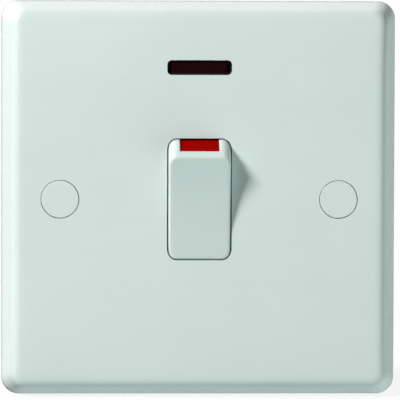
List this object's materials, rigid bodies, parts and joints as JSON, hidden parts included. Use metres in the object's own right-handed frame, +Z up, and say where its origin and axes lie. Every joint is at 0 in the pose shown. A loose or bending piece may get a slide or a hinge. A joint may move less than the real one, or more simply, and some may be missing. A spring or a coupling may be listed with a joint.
{
  "type": "double pole wall switch",
  "caption": "Square white wall plate with a central rocker, a dark red indicator window above it, round screw covers and a two pole switch mechanism behind.",
  "frame": {"origin": "centre of the plate on the wall plane, midway between the two fixing screws", "axes": "+X to the right seen from the front, +Y into the wall, +Z up"},
  "size_m": [0.086, 0.0335, 0.086],
  "materials": {
    "white_moulding": "semi-gloss white moulding",
    "flag_red": "glossy red moulding",
    "lens_red": "dark red translucent lens",
    "base_moulding": "satin off-white thermoset",
    "brass": "machined brass",
    "silver": "dull silver alloy",
    "zinc_steel": "bright zinc-plated steel",
    "spring_steel": "drawn spring wire",
    "nylon": "natural nylon",
    "lamp_glass": "clear glass",
    "resistor_body": "lacquered body",
    "lead_sleeve": "sleeved wire"
  },
  "bodies": {
    "plate_body": {"front_plate": "white_moulding", "screw_cover_left": "white_moulding", "screw_cover_right": "white_moulding", "fixing_screws": "zinc_steel", "switch_base": "base_moulding", "base_screws": "zinc_steel", "load_terminal_live": "brass", "load_terminal_neutral": "brass", "supply_terminal_live": "brass", "supply_terminal_neutral": "brass", "terminal_screws": "zinc_steel", "fixed_tip_live": "silver", "fixed_tip_neutral": "silver", "neon_lens": "lens_red", "neon_lamp": "lamp_glass", "neon_resistor": "resistor_body", "neon_cover": "base_moulding", "neon_lead_live": "lead_sleeve", "neon_lead_neutral": "lead_sleeve"},
    "rocker_body": {"rocker": "white_moulding", "rocker_flag": "flag_red", "plunger_spring_live": "spring_steel", "plunger_spring_neutral": "spring_steel"},
    "arm_live_body": {"contact_arm_live": "brass", "moving_tip_live": "silver"},
    "plunger_live_body": {"plunger_live": "nylon"},
    "arm_neutral_body": {"contact_arm_neutral": "brass", "moving_tip_neutral": "silver"},
    "plunger_neutral_body": {"plunger_neutral": "nylon"}
  },
  "joints": [
    {"name": "rocker_pivot", "type": "hinge", "parent": "plate_body", "child": "rocker_body", "pos_m": [0, -0.001, 0], "axis": [1, 0, 0], "range_deg": [-20.66, 0]},
    {"name": "arm_live_pivot", "type": "hinge", "parent": "plate_body", "child": "arm_live_body", "pos_m": [-0.0044, 0.0125, 0], "axis": [1, 0, 0], "range_deg": [0, 16]},
    {"name": "plunger_live_slide", "type": "slide", "parent": "rocker_body", "child": "plunger_live_body", "axis": [0, -0.9838, -0.1793], "range_m": [0, 0.0012], "stiffness_N_per_m": 600, "springref_m": -0.004, "deforming": ["plunger_spring_live"]},
    {"name": "arm_neutral_pivot", "type": "hinge", "parent": "plate_body", "child": "arm_neutral_body", "pos_m": [0.0044, 0.0125, 0], "axis": [1, 0, 0], "range_deg": [0, 16]},
    {"name": "plunger_neutral_slide", "type": "slide", "parent": "rocker_body", "child": "plunger_neutral_body", "axis": [0, -0.9838, -0.1793], "range_m": [0, 0.0012], "stiffness_N_per_m": 600, "springref_m": -0.004, "deforming": ["plunger_spring_neutral"]}
  ],
  "couplings": [
    {"joint": "arm_live_pivot", "follows": "rocker_pivot", "ratio": -0.77459},
    {"joint": "arm_neutral_pivot", "follows": "rocker_pivot", "ratio": -0.77459}
  ]
}
